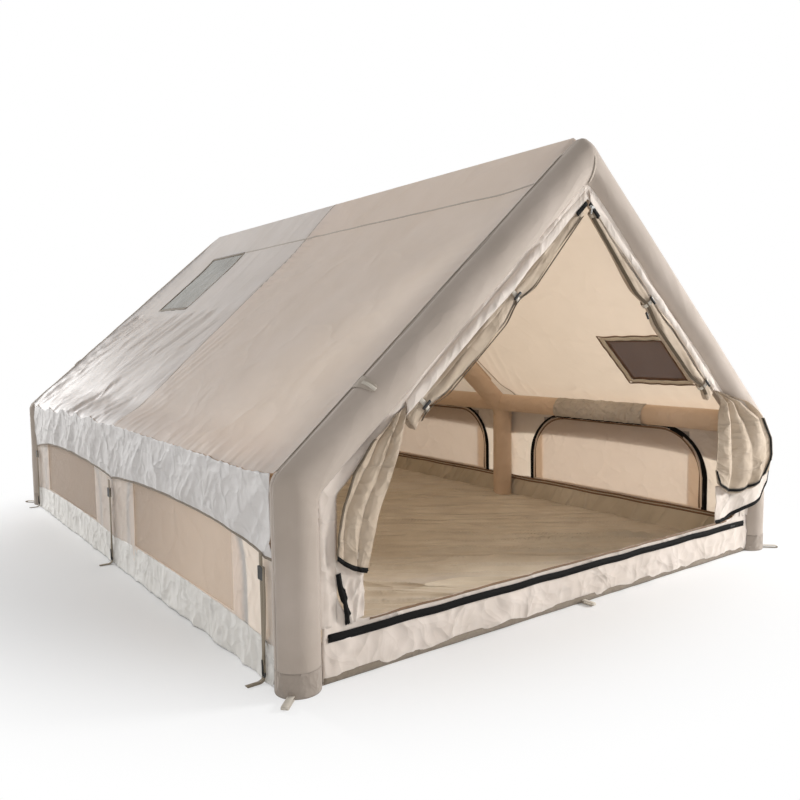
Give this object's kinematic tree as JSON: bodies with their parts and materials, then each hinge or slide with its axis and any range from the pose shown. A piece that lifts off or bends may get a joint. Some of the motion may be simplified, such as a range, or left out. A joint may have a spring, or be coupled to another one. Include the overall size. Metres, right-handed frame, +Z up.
{
  "type": "inflatable tent",
  "caption": "Ridge cabin tent held up by air arches and eave tubes, with a sewn canvas shell, tied-back front doors, windows, skylights and a tray groundsheet.",
  "frame": {"origin": "on the ground under the middle of the tent", "axes": "+X across the tent towards the right side wall, +Y along the ridge away from the open front doorway, +Z up"},
  "size_m": [3.1152, 4.0782, 2.04],
  "materials": {
    "canvas": "plain woven canvas",
    "roof_canvas": "coated woven canvas",
    "wall_canvas": "plain woven canvas",
    "gathered_cloth": "crinkled coated cloth",
    "lining": "thin woven lining",
    "tube_sleeve": "tight woven sleeve",
    "bladder": "smooth welded film",
    "floor_cloth": "coated waterproof cloth",
    "insect_mesh": "fine knitted mesh",
    "clear_film": "clear flexible film",
    "pocket_cloth": "creased woven cloth",
    "zip": "woven tape and moulded slider",
    "valve_plastic": "moulded",
    "buckle_plastic": "moulded"
  },
  "bodies": {
    "tent": {"beam_pouch": "pocket_cloth", "eave_bladder_left_front": "bladder", "eave_bladder_left_rear": "bladder", "eave_bladder_right_front": "bladder", "eave_bladder_right_rear": "bladder", "eave_tube_left_front": "tube_sleeve", "eave_tube_left_rear": "tube_sleeve", "eave_tube_right_front": "tube_sleeve", "eave_tube_right_rear": "tube_sleeve", "front_arch_bladder": "bladder", "front_arch_sleeve": "canvas", "middle_arch_bladder": "bladder", "middle_arch_sleeve": "tube_sleeve", "rear_arch_bladder": "bladder", "rear_arch_sleeve": "canvas", "front_door_left": "canvas", "front_door_right": "canvas", "front_gable_wall": "canvas", "front_sill_zip": "zip", "rear_gable_wall": "canvas", "groundsheet": "floor_cloth", "inflation_valve_body": "valve_plastic", "relief_valve": "valve_plastic", "mud_skirt_left": "gathered_cloth", "mud_skirt_right": "gathered_cloth", "roof_canopy": "roof_canvas", "side_wall_left": "wall_canvas", "side_wall_right": "wall_canvas", "skylight_film_left": "clear_film", "skylight_film_right": "clear_film", "skylight_mesh_left": "insect_mesh", "skylight_mesh_right": "insect_mesh", "valance_left": "gathered_cloth", "valance_right": "gathered_cloth", "window_mesh_left_front": "insect_mesh", "window_mesh_left_rear": "insect_mesh", "window_mesh_right_front": "insect_mesh", "window_mesh_right_rear": "insect_mesh"},
    "left_tail": {"front_door_left_tail": "canvas"},
    "right_tail": {"front_door_right_tail": "canvas"},
    "sill_slider": {"front_sill_slider": "zip"},
    "rear_leaf_left": {"rear_door_left": "canvas"},
    "rear_leaf_right": {"rear_door_right": "canvas"},
    "rear_slider": {"rear_door_slider": "zip"},
    "valve_cap": {"inflation_valve_cap": "valve_plastic"},
    "cover_left_front": {"window_cover_left_front": "lining"},
    "cover_left_rear": {"window_cover_left_rear": "lining"},
    "cover_right_front": {"window_cover_right_front": "lining"},
    "cover_right_rear": {"window_cover_right_rear": "lining"},
    "cover_slider_left_front": {"window_slider_left_front": "zip"},
    "cover_slider_left_rear": {"window_slider_left_rear": "zip"},
    "cover_slider_right_front": {"window_slider_right_front": "zip"},
    "cover_slider_right_rear": {"window_slider_right_rear": "zip"},
    "buckle_left_front": {"strap_buckle_left_front": "buckle_plastic"},
    "buckle_left_middle": {"strap_buckle_left_middle": "buckle_plastic"},
    "buckle_left_rear": {"strap_buckle_left_rear": "buckle_plastic"},
    "buckle_right_front": {"strap_buckle_right_front": "buckle_plastic"},
    "buckle_right_middle": {"strap_buckle_right_middle": "buckle_plastic"},
    "buckle_right_rear": {"strap_buckle_right_rear": "buckle_plastic"}
  },
  "joints": [
    {"name": "left_tail_swing", "type": "hinge", "parent": "tent", "child": "left_tail", "pos_m": [-1.088, -1.95, 0.83756], "axis": [-0.7532, 0, -0.6578], "range_deg": [0, 60]},
    {"name": "right_tail_swing", "type": "hinge", "parent": "tent", "child": "right_tail", "pos_m": [1.088, -2.002, 0.83756], "axis": [-0.7532, 0, 0.6578], "range_deg": [0, 40]},
    {"name": "sill_zip_run", "type": "slide", "parent": "tent", "child": "sill_slider", "axis": [-1, 0, 0], "range_m": [0, 2.4]},
    {"name": "rear_left_swing", "type": "hinge", "parent": "tent", "child": "rear_leaf_left", "pos_m": [-0.64, 1.95, 1.21553], "axis": [0.7532, 0, 0.6578], "range_deg": [0, 110]},
    {"name": "rear_right_swing", "type": "hinge", "parent": "tent", "child": "rear_leaf_right", "pos_m": [0.64, 1.95, 1.21553], "axis": [0.7532, 0, -0.6578], "range_deg": [0, 110]},
    {"name": "rear_zip_run", "type": "slide", "parent": "rear_leaf_left", "child": "rear_slider", "axis": [0, 0, 1], "range_m": [0, 1.4]},
    {"name": "valve_cap_hinge", "type": "hinge", "parent": "tent", "child": "valve_cap", "pos_m": [1.42, 2.0136, 0.382], "axis": [1, 0, 0], "range_deg": [0, 150]},
    {"name": "cover_left_front_fold", "type": "hinge", "parent": "tent", "child": "cover_left_front", "pos_m": [-1.4637, -0.935, 0.153], "axis": [0, 1, 0], "range_deg": [0, 95]},
    {"name": "cover_left_rear_fold", "type": "hinge", "parent": "tent", "child": "cover_left_rear", "pos_m": [-1.4637, 0.935, 0.153], "axis": [0, 1, 0], "range_deg": [0, 95]},
    {"name": "cover_right_front_fold", "type": "hinge", "parent": "tent", "child": "cover_right_front", "pos_m": [1.4637, -0.935, 0.153], "axis": [0, -1, 0], "range_deg": [0, 95]},
    {"name": "cover_right_rear_fold", "type": "hinge", "parent": "tent", "child": "cover_right_rear", "pos_m": [1.4637, 0.935, 0.153], "axis": [0, -1, 0], "range_deg": [0, 95]},
    {"name": "cover_zip_left_front_run", "type": "slide", "parent": "tent", "child": "cover_slider_left_front", "axis": [0, 0, 1], "range_m": [0, 0.09]},
    {"name": "cover_zip_left_rear_run", "type": "slide", "parent": "tent", "child": "cover_slider_left_rear", "axis": [0, 0, 1], "range_m": [0, 0.09]},
    {"name": "cover_zip_right_front_run", "type": "slide", "parent": "tent", "child": "cover_slider_right_front", "axis": [0, 0, 1], "range_m": [0, 0.09]},
    {"name": "cover_zip_right_rear_run", "type": "slide", "parent": "tent", "child": "cover_slider_right_rear", "axis": [0, 0, 1], "range_m": [0, 0.09]},
    {"name": "buckle_left_front_slide", "type": "slide", "parent": "tent", "child": "buckle_left_front", "axis": [0.003, 0, -1], "range_m": [-0.02, 0.12]},
    {"name": "buckle_left_middle_slide", "type": "slide", "parent": "tent", "child": "buckle_left_middle", "axis": [0.0061, 0, -1], "range_m": [-0.02, 0.12]},
    {"name": "buckle_left_rear_slide", "type": "slide", "parent": "tent", "child": "buckle_left_rear", "axis": [0.0008, 0, -1], "range_m": [-0.02, 0.12]},
    {"name": "buckle_right_front_slide", "type": "slide", "parent": "tent", "child": "buckle_right_front", "axis": [-0.003, 0, -1], "range_m": [-0.02, 0.12]},
    {"name": "buckle_right_middle_slide", "type": "slide", "parent": "tent", "child": "buckle_right_middle", "axis": [-0.0061, 0, -1], "range_m": [-0.02, 0.12]},
    {"name": "buckle_right_rear_slide", "type": "slide", "parent": "tent", "child": "buckle_right_rear", "axis": [-0.0008, 0, -1], "range_m": [-0.02, 0.12]}
  ]
}
